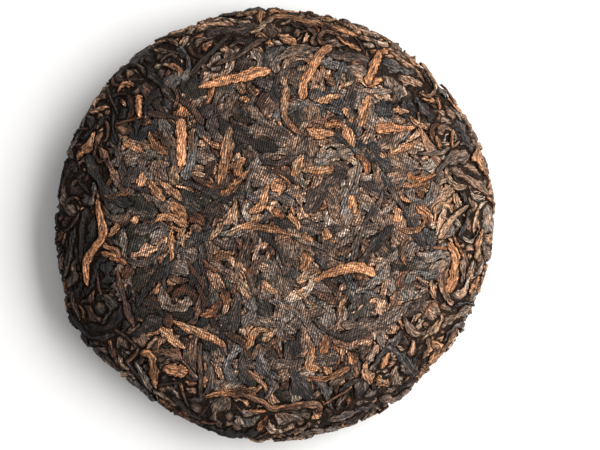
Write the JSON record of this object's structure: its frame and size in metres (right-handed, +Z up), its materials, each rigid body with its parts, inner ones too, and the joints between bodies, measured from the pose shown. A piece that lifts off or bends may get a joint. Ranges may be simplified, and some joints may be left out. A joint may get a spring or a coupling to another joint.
{
  "type": "pressed tea cake",
  "caption": "Small round cake of pressed dark tea leaves with a gently domed face, a rounded uneven rim, a flat underside and a round dimple in its middle.",
  "frame": {"origin": "centre of the cake's box at its foot, on the surface that it lies on", "axes": "+Z up out of the domed face, the cake lies face up; +X and +Y lie across the face"},
  "size_m": [0.1058, 0.1046, 0.0185],
  "materials": {
    "pressed_leaf": "matt dried tea leaf, dark brown, mixed",
    "dark_leaf": "matt to faintly waxy blue-black dried leaf",
    "brown_leaf": "matt brown dried leaf",
    "golden_leaf": "matt orange-tan buds and leaf tips",
    "leaf_stalk": "dry pale tan stalk, faintly glossy"
  },
  "bodies": {
    "root": {"tea_cake": "pressed_leaf"}
  },
  "joints": []
}
